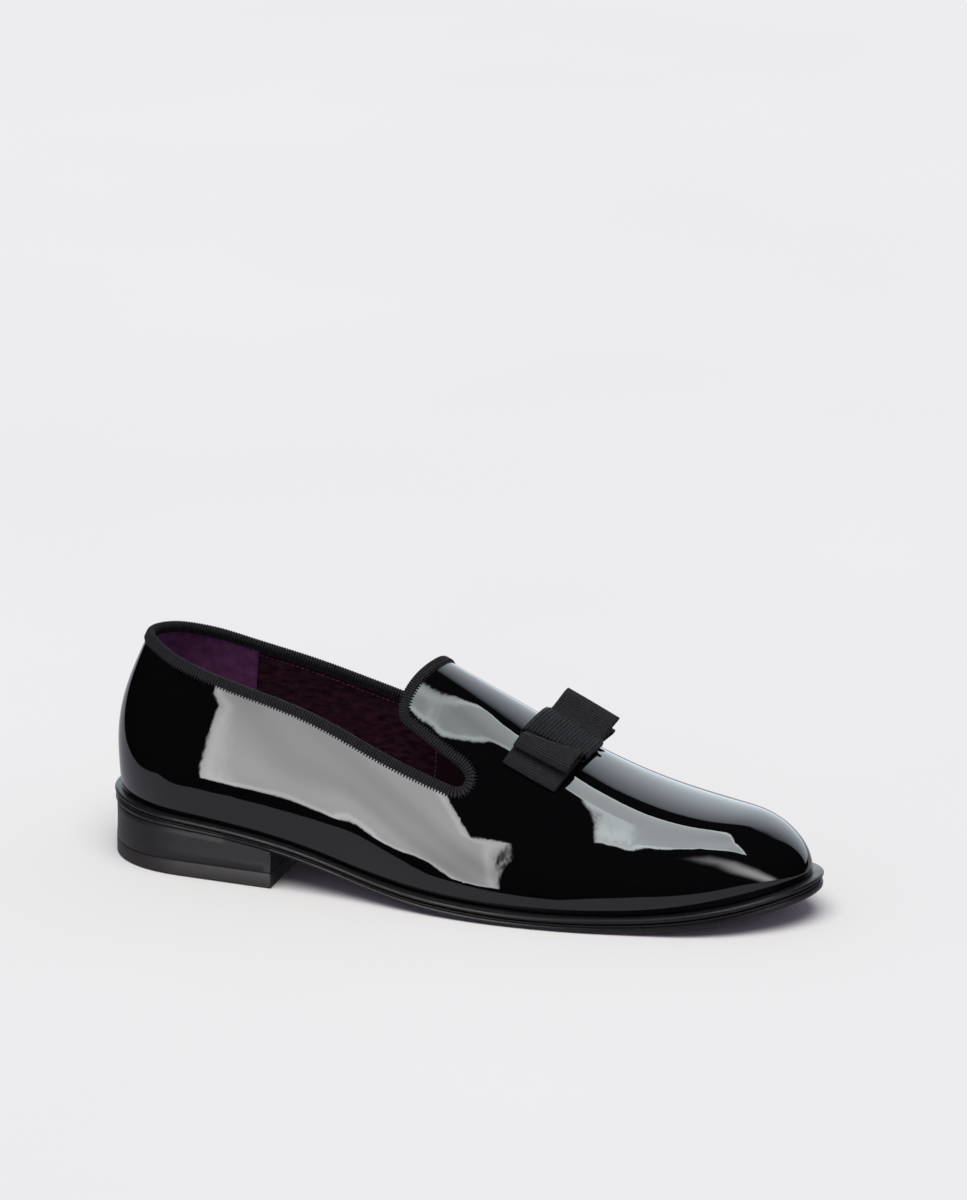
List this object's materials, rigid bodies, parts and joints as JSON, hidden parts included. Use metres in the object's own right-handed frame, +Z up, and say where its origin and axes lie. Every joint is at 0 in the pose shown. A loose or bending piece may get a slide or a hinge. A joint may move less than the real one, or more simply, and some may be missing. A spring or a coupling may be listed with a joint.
{
  "type": "leather loafer",
  "caption": "Right slip-on loafer in black patent leather, with a rounded tongue, ribbon-bound topline, flat ribbon bow across the vamp, welted sole and low block heel.",
  "frame": {"origin": "bottom centre of the shoe's box, on the floor it stands on", "axes": "+X toward the toe, +Y toward the inner (medial) side, +Z up"},
  "size_m": [0.2996, 0.0928, 0.0951],
  "materials": {
    "outsole": "satin black edge",
    "welt": "satin black edge",
    "heel_stack": "satin black",
    "heel_lift": "matt black",
    "insole": "suede, plum",
    "upper": "patent, mirror gloss",
    "collar_binding": "ribbed ribbon",
    "bow": "ribbed ribbon"
  },
  "bodies": {
    "root": {"outsole": "outsole", "welt": "welt", "heel_stack": "heel_stack", "heel_lift": "heel_lift", "insole": "insole", "upper": "upper", "collar_binding": "collar_binding", "bow_lower": "bow", "bow_upper": "bow", "bow_band": "bow"}
  },
  "joints": []
}
